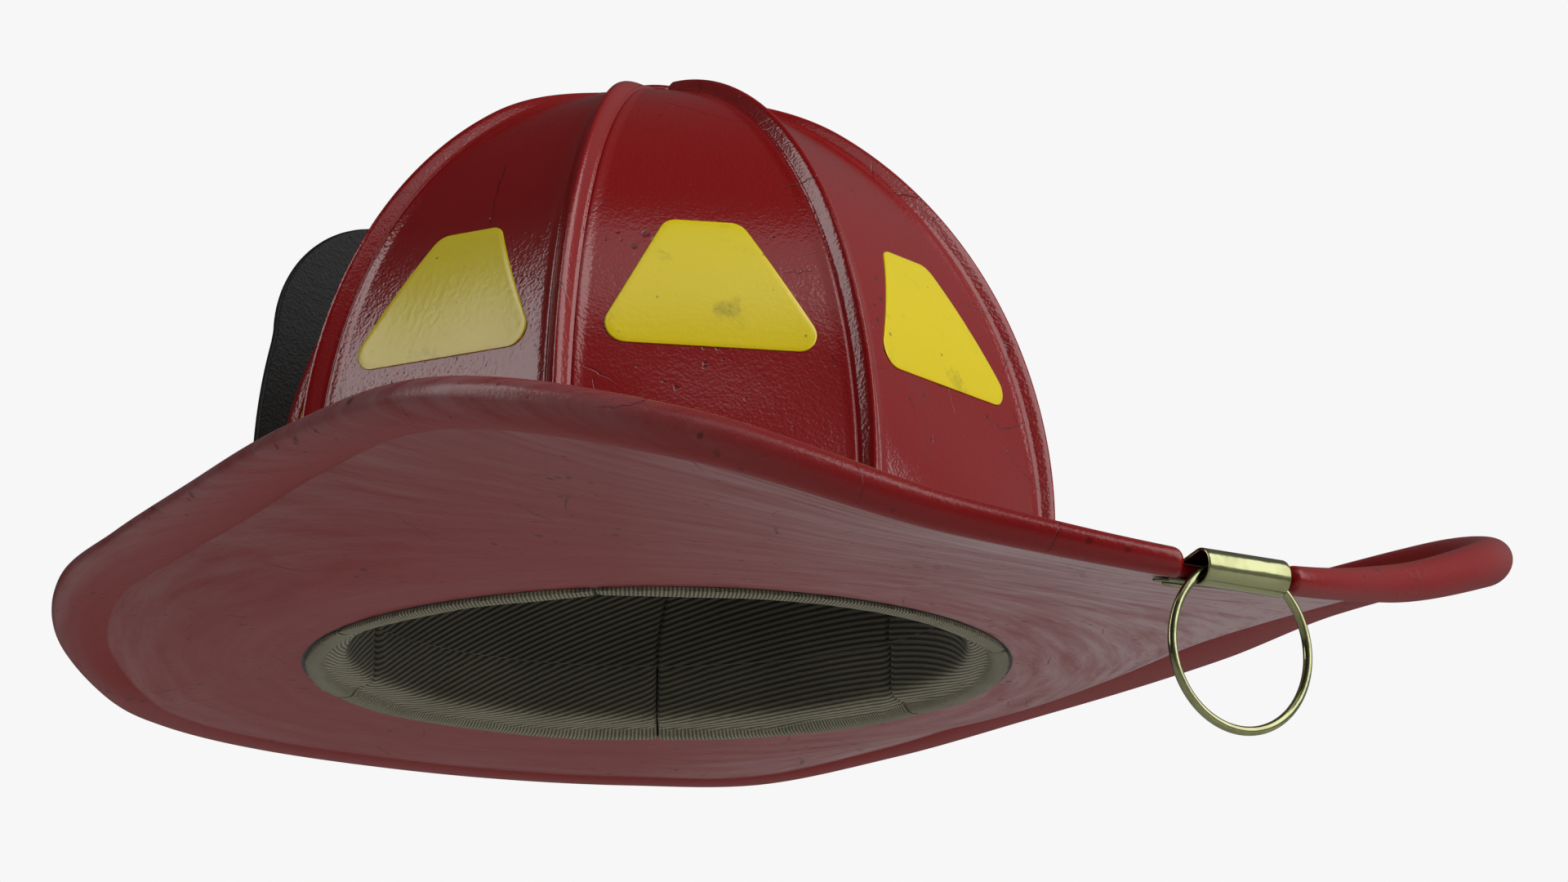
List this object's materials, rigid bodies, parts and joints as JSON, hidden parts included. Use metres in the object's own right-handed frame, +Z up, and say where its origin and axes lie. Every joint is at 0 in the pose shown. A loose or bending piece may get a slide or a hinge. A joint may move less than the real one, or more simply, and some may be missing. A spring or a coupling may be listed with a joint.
{
  "type": "firefighter helmet",
  "caption": "Traditional leather firefighter helmet: ribbed domed crown with reflective patches, long tail brim, front shield, padded liner and a brass hanging ring.",
  "frame": {"origin": "on the crown's axis, in the plane of the head opening", "axes": "+Z up through the crown, -Y towards the front of the helmet, +X towards the wearer's left"},
  "size_m": [0.3284, 0.4165, 0.2221],
  "materials": {
    "crown_leather": "glossy red lacquer over fine leather grain, scratched and dusty",
    "comb_leather": "glossy red lacquer, rubbed along the crest",
    "brim_leather": "red lacquer, glossy on the rolled edge and dull and dusty underneath",
    "reflective_sheet": "lime yellow reflective sheet with grime",
    "shield_leather": "black pebbled leather",
    "brass": "pale polished brass with slight dents",
    "foam": "grey foamed plastic",
    "lining": "dark olive ribbed cloth",
    "band": "black flexible plastic strip",
    "corduroy": "olive grey corduroy over padding"
  },
  "bodies": {
    "helmet": {"crown_panel_1": "crown_leather", "crown_panel_2": "crown_leather", "crown_panel_3": "crown_leather", "crown_panel_4": "crown_leather", "crown_panel_5": "crown_leather", "crown_panel_6": "crown_leather", "crown_panel_7": "crown_leather", "crown_panel_8": "crown_leather", "comb_left": "comb_leather", "comb_rear_left": "comb_leather", "comb_rear": "comb_leather", "comb_rear_right": "comb_leather", "comb_right": "comb_leather", "comb_front_right": "comb_leather", "comb_front": "comb_leather", "comb_front_left": "comb_leather", "comb_pad": "comb_leather", "reflective_patch_1": "reflective_sheet", "reflective_patch_2": "reflective_sheet", "reflective_patch_3": "reflective_sheet", "reflective_patch_4": "reflective_sheet", "reflective_patch_5": "reflective_sheet", "reflective_patch_6": "reflective_sheet", "reflective_patch_7": "reflective_sheet", "reflective_patch_8": "reflective_sheet", "brim": "brim_leather", "front_shield": "shield_leather", "shield_bracket": "brass", "bracket_rivets": "brass", "shield_screws": "brass", "shield_holder": "brass", "hanger_clip": "brass", "clip_eyelet": "brass", "impact_cap": "foam", "liner_dome": "lining", "headband": "band", "sweat_pad_rear": "corduroy", "sweat_pad_rear_left": "corduroy", "sweat_pad_front_left": "corduroy", "sweat_pad_front": "corduroy", "sweat_pad_front_right": "corduroy", "sweat_pad_rear_right": "corduroy"},
    "ring": {"hanger_ring": "brass"}
  },
  "joints": [
    {"name": "ring_swing", "type": "hinge", "parent": "helmet", "child": "ring", "pos_m": [0, 0.2586, -0.0224], "axis": [1, 0, 0], "range_deg": [-46, 205]}
  ]
}
